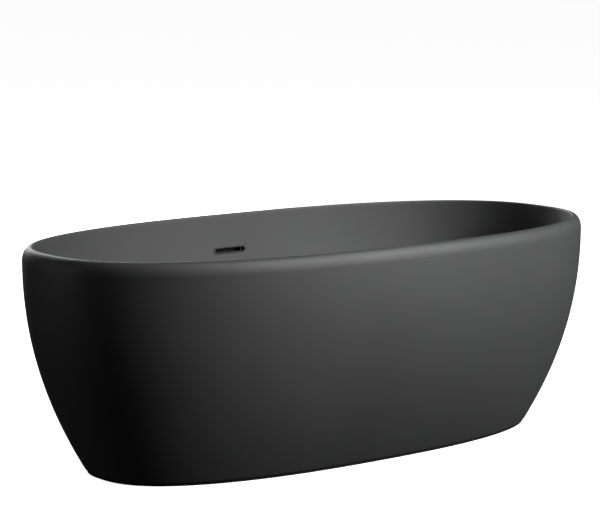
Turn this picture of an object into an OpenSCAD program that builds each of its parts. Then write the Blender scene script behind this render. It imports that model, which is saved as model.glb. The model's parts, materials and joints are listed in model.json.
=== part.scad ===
// Double-walled freestanding bathtub: an inner basin with a rolled rim, an outer skirt bonded
// under it, a steel support frame on levelling feet, a slotted overflow and a press-to-open waste.
// Millimetres. +X runs along the bath, +Y towards the overflow side, +Z up.
// The origin is on the floor, under the middle of the bath.

/* [Overall size] */
// Length over the rim
bath_length = 1700; // [1680:5:1720]
// Width over the rim
bath_width = 835; // [828:1:840]
// Height from the floor to the top of the rim
bath_height = 580; // [578:1:590]
// Length of the skirt at its bottom edge
base_length = 1396; // [1380:2:1400]
// Width of the skirt at its bottom edge
base_width = 560; // [552:2:566]
// Squareness of the plan outline, where 2 is an ellipse
plan_squareness = 2.45; // [2.4:0.05:2.5]

/* [Skirt] */
// Wall thickness of the skirt
skirt_wall = 6; // [5:0.5:6.5]
// How strongly the end walls curve in towards the base
end_curve = 2.05; // [2:0.01:2.2]
// How strongly the side walls curve in towards the base
side_curve = 2.37; // [2.2:0.01:2.4]
// Height of the shadow gap under the skirt
seal_height = 8; // [6:0.5:10]

/* [Rim] */
// Width of the rim, from its outermost point to its inner edge
rim_width = 26; // [25:0.5:28]
// Height over which the outside of the rim rounds over
shoulder_height = 35; // [32:1:38]
// How far the rounded shoulder leans in
shoulder_depth = 21; // [18:0.5:21]

/* [Basin] */
// Height of the basin floor above the room floor
floor_height = 140; // [138:1:144]
// Length of the flat basin floor
floor_length = 1000; // [980:5:1020]
// Width of the flat basin floor
floor_width = 430; // [420:2:436]
// Wall thickness of the basin
basin_wall = 7; // [6:0.5:7.5]

/* [Waste and overflow] */
// Depth of the overflow slot's centre below the rim
slot_depth = 100; // [94:1:104]
// Length of the overflow slot
slot_length = 106; // [100:1:112]
// Height of the overflow slot
slot_height = 14; // [13:0.5:16]
// How far the waste plug rises when it clicks open
plug_travel = 9; // [8:0.5:9]
// Outside diameter of the outlet spigot
outlet_diameter = 40; // [40:0.5:42]

/* [Frame and feet] */
// Width and height of the square steel tubes
tube_size = 30; // [28:1:30]
// Wall thickness of the tubes
tube_wall = 2; // [1.5:0.5:3]
// Distance from the middle to the corner feet, along the bath
foot_x = 400; // [380:5:420]
// Distance from the middle to the corner feet, across the bath
foot_y = 185; // [178:1:190]
// Diameter of the threaded feet
stud_diameter = 12; // [10:1:12]

/* [Hidden] */

$fn = 72;

segments = 80;       // sides of the bath's plan outline
gap = 0.3;           // clearance between parts that only lie beside each other
half_l = bath_length / 2;
half_w = bath_width / 2;
joint_z = bath_height - shoulder_height;   // where the basin's rim meets the skirt

// ---------------------------------------------------------------- plan outlines and lofts

// One ring of points: a superellipse of half length a, half width b and squareness n, at height z
function ring(a, b, n, z) = [
    for (i = [0 : segments - 1])
        let (t = 360 * i / segments, c = cos(t), s = sin(t),
             r = pow(pow(abs(c), n) + pow(abs(s), n), -1 / n))
        [a * r * c, b * r * s, z]
];

// Skins a closed loop of rings, each [a, b, n, z], into a ring-shaped solid
module ring_solid(sections) {
    rows = len(sections);
    points = [for (s = sections) each ring(s[0], s[1], s[2], s[3])];
    faces = [
        for (k = [0 : rows - 1]) for (i = [0 : segments - 1])
            let (j = (i + 1) % segments, m = (k + 1) % rows,
                 p = k * segments + i, q = k * segments + j,
                 u = m * segments + j, v = m * segments + i)
            each [[p, u, q], [p, v, u]]
    ];
    polyhedron(points = points, faces = faces, convexity = 8);
}

// Skins a stack of rings and closes both ends with flat caps
module stacked_solid(sections) {
    rows = len(sections);
    points = [for (s = sections) each ring(s[0], s[1], s[2], s[3])];
    sides = [
        for (k = [0 : rows - 2]) for (i = [0 : segments - 1])
            let (j = (i + 1) % segments,
                 p = k * segments + i, q = k * segments + j,
                 u = (k + 1) * segments + j, v = (k + 1) * segments + i)
            each [[p, u, q], [p, v, u]]
    ];
    bottom = [[for (i = [0 : segments - 1]) i]];
    top = [[for (i = [segments - 1 : -1 : 0]) (rows - 1) * segments + i]];
    polyhedron(points = points, faces = concat(sides, bottom, top), convexity = 4);
}

// ---------------------------------------------------------------- the skirt's outer surface

function rise(z) = (z - seal_height) / (joint_z - seal_height);
function skirt_a(z) =
    base_length / 2 + (half_l - base_length / 2) * (1 - pow(1 - rise(z), end_curve));
function skirt_b(z) =
    base_width / 2 + (half_w - base_width / 2) * (1 - pow(1 - rise(z), side_curve));
function skirt_section(z, inset = 0) =
    [skirt_a(z) - inset, skirt_b(z) - inset, plan_squareness, z];

tongue_height = 14;   // the skirt's bonding tongue, which stands inside the rim
tongue_inset = 4.2;
tongue_back = skirt_wall + 2;
level_count = 11;     // the skirt's faces are straight between its levels, closer together low down
skirt_levels = [
    for (k = [0 : level_count]) seal_height + (joint_z - seal_height) * pow(k / level_count, 1.15)
];

// A section on the skirt's straight-sided faces, at a height between two of its levels
function faceted_section(z, inset) =
    let (k = len([for (level = skirt_levels) if (level < z) 1]) - 1,
         low = skirt_section(skirt_levels[k], inset),
         high = skirt_section(skirt_levels[k + 1], inset))
    low + (high - low) * (z - skirt_levels[k]) / (skirt_levels[k + 1] - skirt_levels[k]);

module skirt() {
    color([0.07, 0.07, 0.075])
    ring_solid(concat(
        [for (z = skirt_levels) skirt_section(z)],
        [[half_l - tongue_inset, half_w - tongue_inset, plan_squareness, joint_z],
         [half_l - tongue_inset, half_w - tongue_inset, plan_squareness, joint_z + tongue_height],
         [half_l - tongue_back, half_w - tongue_back, plan_squareness, joint_z + tongue_height]],
        [for (k = [level_count - 1 : -1 : 0]) skirt_section(skirt_levels[k], skirt_wall)]
    ));
}

// ---------------------------------------------------------------- the basin

rim_round = 5;   // radius of the rim's inner edge
wall_lean = 14;  // how far the upper wall leans in
// Each wall control point is [half length, half width, height], from the rim's inner edge to the floor
wall_points = [
    [half_l - rim_width, half_w - rim_width, bath_height - rim_round],
    [half_l - rim_width - wall_lean, half_w - rim_width - wall_lean, 400],
    [700, 318, floor_height + 4],
    [floor_length / 2, floor_width / 2, floor_height],
];
wall_steps = 12;
floor_squareness = 2.8;

function bezier(p, t) =
    pow(1 - t, 3) * p[0] + 3 * pow(1 - t, 2) * t * p[1]
    + 3 * (1 - t) * t * t * p[2] + pow(t, 3) * p[3];
function bezier_slope(p, t) =
    3 * pow(1 - t, 2) * (p[1] - p[0]) + 6 * (1 - t) * t * (p[2] - p[1])
    + 3 * t * t * (p[3] - p[2]);
function squareness_at(t) = plan_squareness + (floor_squareness - plan_squareness) * t;

// Wet surface of the wall, from t = 0 at the rim to t = 1 at the floor
function wet_section(t) =
    let (p = bezier(wall_points, t)) [p[0], p[1], squareness_at(t), p[2]];
// Dry surface: the wet one moved out by the wall thickness, along the mean of both slopes
function dry_section(t) =
    let (p = bezier(wall_points, t), d = bezier_slope(wall_points, t),
         run = (d[0] + d[1]) / 2, size = sqrt(run * run + d[2] * d[2]),
         out = -basin_wall * d[2] / size, down = basin_wall * run / size)
    [p[0] + out, p[1] + out, squareness_at(t), p[2] + down];

underside_z = floor_height - 12;   // the flat dry face that the baseboard is bonded to
hole_r = 26;                       // hole for the waste
recess_r = 38;                     // recess that the waste flange sits in
recess_z = floor_height - 7;
// Rings between the recess and the wall, [half length, half width, squareness, depth below floor_height]
floor_rings = [[40, 40, 2, 3.4], [floor_length / 4, floor_width / 4, 2.2, 1.6]];
shoulder_turns = [82, 68, 54, 40, 26, 12, 0];   // where the rounded shoulder's rings are, in degrees
lip_inset = tongue_inset - 0.2;                 // the rim's lip covers the skirt's tongue
lip_top = joint_z + tongue_height + 1;
lip_root = 12;

module basin_blank() {
    top = bath_height;
    inner_a = half_l - rim_width;
    inner_b = half_w - rim_width;
    n = plan_squareness;
    ring_solid(concat(
        // waste hole, recess and the floor that falls towards it
        [[hole_r, hole_r, 2, underside_z], [hole_r, hole_r, 2, recess_z],
         [recess_r, recess_r, 2, recess_z]],
        [for (f = floor_rings) [f[0], f[1], f[2], floor_height - f[3]]],
        // wet side of the wall, up to the rim
        [for (k = [wall_steps : -1 : 0]) wet_section(k / wall_steps)],
        // rim: tight inner edge, top, rounded shoulder
        [for (a = [30 : 30 : 90])
            let (q = rim_round * (1 - cos(a)), h = rim_round * sin(a) - rim_round)
            [inner_a + q, inner_b + q, n, top + h]],
        [for (a = shoulder_turns)
            let (q = shoulder_depth * (1 - cos(a)))
            [half_l - q, half_w - q, n, joint_z + shoulder_height * sin(a)]],
        // lip that the skirt's tongue stands in
        [[half_l - lip_inset, half_w - lip_inset, n, joint_z],
         [half_l - lip_inset, half_w - lip_inset, n, lip_top],
         [half_l - lip_root, half_w - lip_root, n, lip_top + 4]],
        // dry side of the wall, down to the flat underside
        [let (s = dry_section(0)) [s[0], s[1], n, lip_top]],
        [for (k = [1 : wall_steps - 1]) dry_section(k / wall_steps)],
        [[floor_length / 2 + 8, floor_width / 2 + 5, floor_squareness, underside_z]]
    ));
}

// ---------------------------------------------------------------- the overflow's place on the wall

// The wall parameter at which the wet surface is at height z, by bisection
function wall_t(z, lo = 0, hi = 1, n = 24) =
    n == 0 ? (lo + hi) / 2
    : let (mid = (lo + hi) / 2)
        bezier(wall_points, mid)[2] > z ? wall_t(z, mid, hi, n - 1) : wall_t(z, lo, mid, n - 1);

slot_z = bath_height - slot_depth;
slot_t = wall_t(slot_z);
slot_y = bezier(wall_points, slot_t)[1];
slot_slope = bezier_slope(wall_points, slot_t);
slot_tilt = atan2(slot_slope[1], slot_slope[2]) + 180;   // lean of the wall at the slot

// Local frame on the wall: x along the bath, y out through the wall, z up its face
module on_slot() {
    translate([0, slot_y, slot_z]) rotate([-slot_tilt, 0, 0]) children();
}

// A bar with round ends that runs through the wall from depth y0 to depth y1
module slot_bar(length, height, y0, y1) {
    r = height / 2;
    translate([-length / 2 + r, y0, -r]) cube([length - height, y1 - y0, height]);
    for (side = [-1, 1])
        translate([side * (length / 2 - r), y0, 0]) rotate([-90, 0, 0])
            cylinder(r = r, h = y1 - y0, $fn = 48);
}

module basin() {
    color([0.07, 0.07, 0.075])
    difference() {
        basin_blank();
        on_slot() slot_bar(slot_length, slot_height, -20, 15);
    }
}

// ---------------------------------------------------------------- floor seal under the skirt

module edge_seal() {
    outer = 5;      // how far its face stands back from the skirt's edge
    inner = 14;
    leg_top = 20;   // top of the leg that grips the skirt's inner face
    color([0.03, 0.03, 0.03])
    ring_solid([
        [skirt_a(seal_height) - outer, skirt_b(seal_height) - outer, plan_squareness, 0],
        skirt_section(seal_height, outer),
        skirt_section(seal_height, skirt_wall + gap),
        faceted_section(leg_top, skirt_wall + gap),
        faceted_section(leg_top, inner),
        [skirt_a(seal_height) - inner, skirt_b(seal_height) - inner, plan_squareness, 0],
    ]);
}

// ---------------------------------------------------------------- base board and steel frame

board_thickness = 12;
board_half = [460, 185];
board_hole_r = 48;
rail_top = underside_z - board_thickness;
rail_y = 130;
rail_half = 560;
cross_top = rail_top - tube_size;
cross_bottom = cross_top - tube_size;
cross_half = 236;
end_plate = 3;
plate_size = 58;
tie_x = 150;
screw_x = [-440, -250, 60, 250, 440];   // board screws along each rail
screw_r = 2.4;
screw_hole_r = 2.6;
screw_depth = 9;

module baseboard() {
    color([0.62, 0.5, 0.34])
    difference() {
        translate([0, 0, rail_top]) linear_extrude(board_thickness)
            polygon([for (p = ring(board_half[0], board_half[1], floor_squareness, 0)) [p[0], p[1]]]);
        translate([0, 0, rail_top - 1]) cylinder(r = board_hole_r, h = board_thickness + 2);
        for (x = screw_x, side = [-1, 1])
            translate([x, side * rail_y, rail_top - 1]) cylinder(r = screw_hole_r, h = screw_depth + 1.5);
    }
}

// A square tube along X, centred on the origin, open at both ends
module square_tube(length) {
    inside = tube_size - 2 * tube_wall;
    difference() {
        cube([length, tube_size, tube_size], center = true);
        cube([length + 2, inside, inside], center = true);
    }
}

// A long rail, with screw holes and, where asked, a hole for a levelling foot at its middle
module rail(side, with_foot) {
    color([0.1, 0.1, 0.11])
    difference() {
        translate([0, side * rail_y, rail_top - tube_size / 2]) square_tube(2 * rail_half);
        for (x = screw_x)
            translate([x, side * rail_y, cross_top - 1]) cylinder(r = screw_hole_r, h = tube_size + 2);
        if (with_foot)
            translate([0, side * rail_y, cross_top - 1])
                cylinder(r = stud_diameter / 2 + 0.6, h = tube_size / 2);
    }
}
module rail_front() { rail(-1, true); }
module rail_back() { rail(1, false); }

plate_screw_x = 22;
plate_screw_r = 2.2;

// A cross member with an end plate at each end and a hole through it for each corner foot
module cross_member(side) {
    z = cross_bottom + tube_size / 2;
    color([0.1, 0.1, 0.11])
    difference() {
        translate([side * foot_x, 0, z]) {
            rotate([0, 0, 90]) square_tube(2 * cross_half);
            for (end = [-1, 1])
                translate([0, end * (cross_half + end_plate / 2), 0])
                    cube([plate_size, end_plate, tube_size], center = true);
        }
        for (end = [-1, 1]) {
            translate([side * foot_x, end * foot_y, cross_bottom - 1])
                cylinder(r = stud_diameter / 2 + 0.6, h = tube_size + 2);
            for (x = [-plate_screw_x, plate_screw_x])
                translate([side * foot_x + x, end * (cross_half - 1), z])
                    rotate([-90 * end, 0, 0]) cylinder(r = plate_screw_r + 0.3, h = end_plate + 2);
        }
    }
}
module cross_member_left() { cross_member(-1); }
module cross_member_right() { cross_member(1); }

// A short tie between the rails, on each side of the waste
module centre_tie(side) {
    color([0.1, 0.1, 0.11])
    translate([side * tie_x, 0, rail_top - tube_size / 2])
        rotate([0, 0, 90]) square_tube(2 * rail_y - tube_size);
}
module centre_tie_left() { centre_tie(-1); }
module centre_tie_right() { centre_tie(1); }

module rail_end_caps() {
    plug = tube_size - 2 * tube_wall - 2 * gap;
    color([0.04, 0.04, 0.04])
    for (end = [-1, 1], side = [-1, 1])
        translate([end * rail_half, side * rail_y, rail_top - tube_size / 2]) {
            translate([end * 1.5, 0, 0]) cube([3, tube_size, tube_size], center = true);
            translate([-end * 6, 0, 0]) cube([12, plug, plug], center = true);
        }
}

// Pan-head screws that hold the base board down on the rails, driven from below
module board_screws() {
    head_r = 5;
    head_h = 3;
    color([0.7, 0.7, 0.7])
    for (x = screw_x, side = [-1, 1])
        translate([x, side * rail_y, cross_top]) {
            translate([0, 0, -head_h]) cylinder(r1 = head_r - 1, r2 = head_r, h = head_h);
            translate([0, 0, -0.5]) cylinder(r = screw_r, h = tube_size + screw_depth);
        }
}

// ---------------------------------------------------------------- blocks between frame and skirt

block_size = [62, 60, 42];
block_overhang = 6;       // how far the blocks reach below the cross members
block_screw_depth = 14;

// A timber block from the end plate to the skirt's inner face, to which it is bonded
module bonding_block(side, end) {
    z0 = cross_bottom - block_overhang;
    plate_y = cross_half + end_plate;
    color([0.68, 0.55, 0.38])
    difference() {
        intersection() {
            translate([side * foot_x - block_size[0] / 2, end * plate_y - (end < 0 ? block_size[1] : 0), z0])
                cube(block_size);
            stacked_solid([for (z = skirt_levels) if (z < joint_z) skirt_section(z, skirt_wall + gap)]);
        }
        for (x = [-plate_screw_x, plate_screw_x])
            translate([side * foot_x + x, end * (plate_y - 1), cross_bottom + tube_size / 2])
                rotate([-90 * end, 0, 0]) cylinder(r = plate_screw_r + 0.3, h = block_screw_depth + 1);
    }
}
module bonding_block_front_left() { bonding_block(-1, -1); }
module bonding_block_front_right() { bonding_block(1, -1); }
module bonding_block_back_left() { bonding_block(-1, 1); }
module bonding_block_back_right() { bonding_block(1, 1); }

module block_screws() {
    head_r = 4.5;
    head_h = 3;
    color([0.7, 0.7, 0.7])
    for (side = [-1, 1], end = [-1, 1], x = [-plate_screw_x, plate_screw_x])
        translate([side * foot_x + x, end * cross_half, cross_bottom + tube_size / 2])
            rotate([-90 * end, 0, 0]) {
                translate([0, 0, -head_h]) cylinder(r1 = head_r - 1, r2 = head_r, h = head_h);
                translate([0, 0, -0.5]) cylinder(r = plate_screw_r, h = end_plate + block_screw_depth - 0.5);
            }
}

// ---------------------------------------------------------------- levelling feet

nut_h = 10;
nut_r = 11;
nut_gap = 0.1;         // radial clearance of the feet in their nuts
pad_height = 20;
pad_r = 22;
stud_seat = 14;        // height of the stud's lower end inside the pad

// Each foot is [x, y, underside of the tube that carries it, top of its stud]
foot_front_left = [-foot_x, -foot_y, cross_bottom, cross_top + 14];
foot_front_right = [foot_x, -foot_y, cross_bottom, cross_top + 14];
foot_back_left = [-foot_x, foot_y, cross_bottom, cross_top + 14];
foot_back_right = [foot_x, foot_y, cross_bottom, cross_top + 14];
foot_middle = [0, -rail_y, cross_top, cross_top + 12];
feet = [foot_front_left, foot_front_right, foot_back_left, foot_back_right, foot_middle];

module foot_stud(foot) {
    color([0.72, 0.72, 0.7])
    translate([foot[0], foot[1], 0]) {
        translate([0, 0, stud_seat]) cylinder(r = stud_diameter / 2, h = foot[3] - stud_seat - 1);
        translate([0, 0, foot[3] - 1]) cylinder(r1 = stud_diameter / 2, r2 = stud_diameter / 2 - 1, h = 1);
        translate([0, 0, pad_height]) cylinder(r = 8.5, h = 7, $fn = 6);
    }
}
module foot_stud_front_left() { foot_stud(foot_front_left); }
module foot_stud_front_right() { foot_stud(foot_front_right); }
module foot_stud_back_left() { foot_stud(foot_back_left); }
module foot_stud_back_right() { foot_stud(foot_back_right); }
module foot_stud_middle() { foot_stud(foot_middle); }

module foot_pad(foot) {
    socket_r = stud_diameter / 2 + 0.05;
    color([0.05, 0.05, 0.05])
    translate([foot[0], foot[1], 0]) rotate_extrude()
        polygon([[0, 0], [pad_r - 1.5, 0], [pad_r, 1.5], [pad_r, 6], [pad_r - 1.5, 8], [14, 10],
                 [11.5, 13], [10.5, pad_height], [socket_r, pad_height], [socket_r, stud_seat],
                 [0, stud_seat]]);
}
module foot_pad_front_left() { foot_pad(foot_front_left); }
module foot_pad_front_right() { foot_pad(foot_front_right); }
module foot_pad_back_left() { foot_pad(foot_back_left); }
module foot_pad_back_right() { foot_pad(foot_back_right); }
module foot_pad_middle() { foot_pad(foot_middle); }

// One hexagon nut on each foot, its top face the given distance under the tube
module nuts(drop) {
    for (f = feet)
        translate([f[0], f[1], f[2] - nut_h - drop]) difference() {
            cylinder(r = nut_r, h = nut_h, $fn = 6);
            translate([0, 0, -1]) cylinder(r = stud_diameter / 2 + nut_gap, h = nut_h + 2);
        }
}
module weld_nuts() { color([0.25, 0.25, 0.26]) nuts(0); }
module lock_nuts() { color([0.72, 0.72, 0.7]) nuts(nut_h); }

// ---------------------------------------------------------------- waste

washer_t = 1.2;
flange_z = recess_z + washer_t;
flange_top = flange_z + 3;
flange_r = 36;
tail_r = 23.9;
tail_bore = 20.5;
tail_bottom = flange_top - 53;
seat_r = 28.5;
seat_slope = 5 / 6.5;                       // fall of the seat for each millimetre inwards
seat_bottom = flange_top - (seat_r - tail_bore) * seat_slope;
bar_bottom = tail_bottom + 4;
bar_top = bar_bottom + 8;
boss_hole_r = 4;

module waste_flange() {
    color([0.05, 0.05, 0.055])
    difference() {
        union() {
            rotate_extrude()
                polygon([[tail_bore, tail_bottom], [tail_r, tail_bottom], [tail_r, underside_z - 2],
                         [25.4, underside_z - 1], [25.4, flange_z], [flange_r, flange_z],
                         [flange_r, flange_top - 0.8], [flange_r - 0.8, flange_top],
                         [seat_r, flange_top], [tail_bore, seat_bottom]]);
            intersection() {
                translate([0, 0, bar_bottom]) cylinder(r = tail_bore + 1, h = bar_top - bar_bottom);
                union() {
                    for (turn = [0, 60, 120])
                        rotate([0, 0, turn]) translate([-tail_r, -1.5, bar_bottom])
                            cube([2 * tail_r, 3, bar_top - bar_bottom]);
                    translate([0, 0, bar_bottom]) cylinder(r = 8, h = bar_top - bar_bottom);
                }
            }
        }
        translate([0, 0, bar_bottom - 1]) cylinder(r = boss_hole_r, h = bar_top - bar_bottom + 2);
    }
}

// A flat ring round the waste's axis
module washer(inner, outer, z0, z1) {
    translate([0, 0, z0]) difference() {
        cylinder(r = outer, h = z1 - z0);
        translate([0, 0, -1]) cylinder(r = inner, h = z1 - z0 + 2);
    }
}

bottom_washer_t = 4;
module waste_washer_top() { color([0.04, 0.04, 0.04]) washer(26.5, 33, recess_z, flange_z); }
module waste_washer_bottom() {
    color([0.04, 0.04, 0.04]) washer(26, 38, underside_z - bottom_washer_t, underside_z);
}

body_top = underside_z - bottom_washer_t;
chamber_top = 84;
chamber_bottom = 45;
chamber_r = 28;
inlet_z = 66;
inlet_end = 62;
inlet_r = 16.5;
inlet_bore = 13.3;
outlet_end = 12;

module waste_body() {
    color([0.85, 0.85, 0.84])
    difference() {
        union() {
            rotate_extrude()
                polygon([[0, chamber_bottom], [chamber_r - 2, chamber_bottom],
                         [chamber_r, chamber_bottom + 2], [chamber_r, body_top - 6],
                         [40, body_top - 6], [40, body_top], [0, body_top]]);
            translate([0, 0, outlet_end])
                cylinder(r = outlet_diameter / 2, h = chamber_bottom - outlet_end + 2);
            translate([0, 0, inlet_z]) rotate([-90, 0, 0]) cylinder(r = inlet_r, h = inlet_end);
        }
        translate([0, 0, chamber_top]) cylinder(r = tail_r + 0.15, h = body_top - chamber_top + 1);
        translate([0, 0, chamber_bottom + 4]) cylinder(r = 22, h = chamber_top - chamber_bottom - 3);
        translate([0, 0, outlet_end - 1]) cylinder(r = outlet_diameter / 2 - 2, h = chamber_bottom);
        translate([0, 0, inlet_z]) rotate([-90, 0, 0]) cylinder(r = inlet_bore, h = inlet_end + 1);
    }
}

// ---------------------------------------------------------------- press-to-open plug

cartridge_top = seat_bottom;
cartridge_floor = bar_top + 4;
stem_r = 5;
stem_clearance = 0.05;
stem_grip = 9.8;              // length of the stem that stays in the cartridge when the plug is open
stem_bottom = cartridge_top - plug_travel - stem_grip;
spring_height = stem_bottom - cartridge_floor;
hub_bottom = flange_top - 3.9;
seal_minor = 2.2;
seal_r = 23.86;
seal_z = flange_top - 0.69;
hub_r = 21.6;
cap_bottom = flange_top + 1.6;
cap_r = 33;

module click_cartridge() {
    color([0.88, 0.88, 0.86])
    difference() {
        union() {
            translate([0, 0, bar_top]) cylinder(r = 8.5, h = cartridge_top - bar_top);
            translate([0, 0, bar_bottom]) cylinder(r = boss_hole_r - 0.1, h = bar_top - bar_bottom + 1);
        }
        translate([0, 0, cartridge_floor]) cylinder(r = stem_r + stem_clearance, h = cartridge_top);
    }
}

module plug_stem() {
    color([0.8, 0.7, 0.45])
    translate([0, 0, stem_bottom]) cylinder(r = stem_r, h = hub_bottom - stem_bottom);
}

module plug_cap() {
    color([0.05, 0.05, 0.055])
    rotate_extrude()
        polygon([[0, hub_bottom], [hub_r + 1.4, hub_bottom], [hub_r + 1.4, hub_bottom + 0.9],
                 [hub_r, hub_bottom + 0.9], [hub_r, cap_bottom], [cap_r - 1, cap_bottom],
                 [cap_r, cap_bottom + 1], [cap_r, cap_bottom + 2.6], [cap_r - 1.2, cap_bottom + 3.7],
                 [cap_r - 6, cap_bottom + 4.5], [0, cap_bottom + 5.2]]);
}

module plug_seal() {
    color([0.03, 0.03, 0.03])
    rotate_extrude() translate([seal_r, seal_z]) circle(r = seal_minor, $fn = 36);
}

// ---------------------------------------------------------------- swept tubes

// The direction of a path at point i
function path_direction(path, i) =
    let (d = path[min(i + 1, len(path) - 1)] - path[max(i - 1, 0)]) d / norm(d);
// A circle of points across the path at point i, where n is a normal of the path there
function tube_ring(path, i, n, r, sides) =
    let (m = cross(path_direction(path, i), n))
    [for (k = [0 : sides - 1]) path[i] + r * (cos(360 * k / sides) * n + sin(360 * k / sides) * m)];

// Skins a tube along a path, hollow where bore is above 0; normals holds one normal for each point
module tube(path, normals, r, sides, bore = 0) {
    rows = len(path);
    shell = [for (i = [0 : rows - 1]) each tube_ring(path, i, normals[i], r, sides)];
    core = bore > 0 ? [for (i = [0 : rows - 1]) each tube_ring(path, i, normals[i], bore, sides)] : [];
    base = rows * sides;
    last = (rows - 1) * sides;
    outside = [
        for (i = [0 : rows - 2]) for (k = [0 : sides - 1])
            let (j = (k + 1) % sides, p = i * sides + k, q = i * sides + j)
            each [[p, q + sides, q], [p, p + sides, q + sides]]
    ];
    inside = bore > 0 ? [for (f = outside) [f[0] + base, f[2] + base, f[1] + base]] : [];
    ends = bore > 0
        ? [for (k = [0 : sides - 1])
            let (j = (k + 1) % sides)
            each [[k, j, base + j], [k, base + j, base + k],
                  [last + k, base + last + j, last + j], [last + k, base + last + k, base + last + j]]]
        : [[for (k = [0 : sides - 1]) k], [for (k = [sides - 1 : -1 : 0]) last + k]];
    polyhedron(points = concat(shell, core), faces = concat(outside, inside, ends), convexity = 8);
}

module plug_spring() {
    turns = 5;
    steps = 12;
    wire_r = 0.6;
    coil_r = 3.9;
    low = cartridge_floor + wire_r + 0.1;
    pitch = (spring_height - 2 * wire_r - 0.2) / turns;
    count = turns * steps;
    color([0.75, 0.75, 0.75])
    tube([for (i = [0 : count]) [coil_r * cos(360 * i / steps), coil_r * sin(360 * i / steps),
                                 low + pitch * i / steps]],
         [for (i = [0 : count]) [cos(360 * i / steps), sin(360 * i / steps), 0]], wire_r, 8);
}

// ---------------------------------------------------------------- overflow

wall_clear = 0.5;                     // room for the wall's curve behind and in front of it
gasket_y = basin_wall + wall_clear;
gasket_t = 2;
box_y = gasket_y + gasket_t;
trim_lip = 2;                         // how far the trim's lip reaches past the slot's edge
trim_wall = 1.5;
lip_thickness = 1.2;
sleeve_length = slot_length - 2 * gap;
sleeve_height = slot_height - 2 * gap;
overflow_screw_x = slot_length / 2 - 7.5;
tab_y = 8;
tab_t = 1.6;

module overflow_trim() {
    color([0.04, 0.04, 0.04])
    on_slot() difference() {
        union() {
            difference() {
                union() {
                    slot_bar(slot_length + 2 * trim_lip, slot_height + 2 * trim_lip,
                             -wall_clear - lip_thickness, -wall_clear);
                    slot_bar(sleeve_length, sleeve_height, -wall_clear - 0.5, box_y);
                }
                slot_bar(sleeve_length - 2 * trim_wall, sleeve_height - 2 * trim_wall, -5, box_y + 1);
            }
            intersection() {
                slot_bar(sleeve_length - 0.5, sleeve_height - 0.5, tab_y, tab_y + tab_t);
                for (side = [-1, 1])
                    translate([side * (overflow_screw_x + 2), tab_y + tab_t / 2, 0])
                        cube([14, 4, slot_height], center = true);
            }
        }
        for (side = [-1, 1])
            translate([side * overflow_screw_x, 0, 0]) rotate([-90, 0, 0]) cylinder(r = 1.8, h = 20);
    }
}

module overflow_screws() {
    color([0.7, 0.7, 0.7])
    on_slot() for (side = [-1, 1])
        translate([side * overflow_screw_x, tab_y, 0]) rotate([-90, 0, 0]) {
            translate([0, 0, -2]) cylinder(r1 = 2.2, r2 = 3, h = 2);
            translate([0, 0, -0.5]) cylinder(r = 1.5, h = 9);
        }
}

module overflow_gasket() {
    color([0.04, 0.04, 0.04])
    on_slot() difference() {
        slot_bar(slot_length + 12, slot_height + 12, gasket_y, box_y);
        slot_bar(slot_length + 1, slot_height + 1, gasket_y - 1, box_y + 1);
    }
}

// A closed stack of rectangles, each [half width, front y, back y, z], from the bottom up
module rect_stack(levels) {
    points = [for (s = levels) each [[-s[0], s[1], s[3]], [s[0], s[1], s[3]],
                                     [s[0], s[2], s[3]], [-s[0], s[2], s[3]]]];
    rows = len(levels);
    sides = [
        for (i = [0 : rows - 2]) for (k = [0 : 3])
            let (j = (k + 1) % 4)
            [4 * i + k, 4 * i + 4 + k, 4 * i + 4 + j, 4 * i + j]
    ];
    polyhedron(points = points, convexity = 4,
        faces = concat(sides, [[0, 1, 2, 3]], [[for (k = [3 : -1 : 0]) 4 * (rows - 1) + k]]));
}

hose_y = 380;                // the hose leaves the overflow box straight down, at this y
box_bottom = 352;
spigot_end = 322;
spigot_r = 9.9;
box_wall = 2;
box_half = slot_length / 2 + 8;

box_throat = box_bottom + 28;      // top of the box's narrow throat
box_shoulder = slot_z - 50;
box_mouth = slot_z - 17;
box_top = slot_z + 14;
box_back = half_w - 11;
post_start = tab_y + tab_t + 0.1;
post_end = (box_back - box_wall / 2 - slot_y) / cos(slot_tilt);

// The box's front follows the basin wall and its back stands clear of the skirt
function front_y(z) = slot_y + (box_y + 0.2) / cos(slot_tilt) + (z - slot_z) * tan(slot_tilt);
function box_levels(inset) = [
    [16 - inset, hose_y - 12 + inset, hose_y + 12 - inset, box_bottom + inset],
    [20 - inset, hose_y - 9 + inset, hose_y + 16 - inset, box_throat + inset],
    [box_half - 12 - inset, front_y(box_shoulder) + inset, box_back - 3 - inset, box_shoulder + inset],
    [box_half - inset, front_y(box_mouth) + inset, box_back - inset, box_mouth + inset],
    [box_half - inset, front_y(box_top) + inset, box_back - inset, box_top - inset],
];

module overflow_box() {
    color([0.04, 0.04, 0.04])
    difference() {
        union() {
            difference() {
                rect_stack(box_levels(0));
                rect_stack(box_levels(box_wall));
                on_slot() slot_bar(slot_length + 1, slot_height + 1, 0, box_y + box_wall + 3);
            }
            // posts for the trim's screws, which stand on the back wall
            on_slot() for (side = [-1, 1])
                translate([side * overflow_screw_x, post_start, 0]) rotate([-90, 0, 0])
                    cylinder(r = 3.5, h = post_end - post_start);
            translate([0, hose_y, spigot_end]) cylinder(r = spigot_r, h = box_bottom - spigot_end + 1);
        }
        on_slot() for (side = [-1, 1])
            translate([side * overflow_screw_x, tab_y, 0]) rotate([-90, 0, 0]) cylinder(r = 1.6, h = 9.5);
        translate([0, hose_y, spigot_end - 1]) cylinder(r = spigot_r - 2, h = box_bottom - spigot_end + 8);
    }
}

// ---------------------------------------------------------------- overflow hose

hose_r = 12.9;
hose_bore = 10.4;
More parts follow.
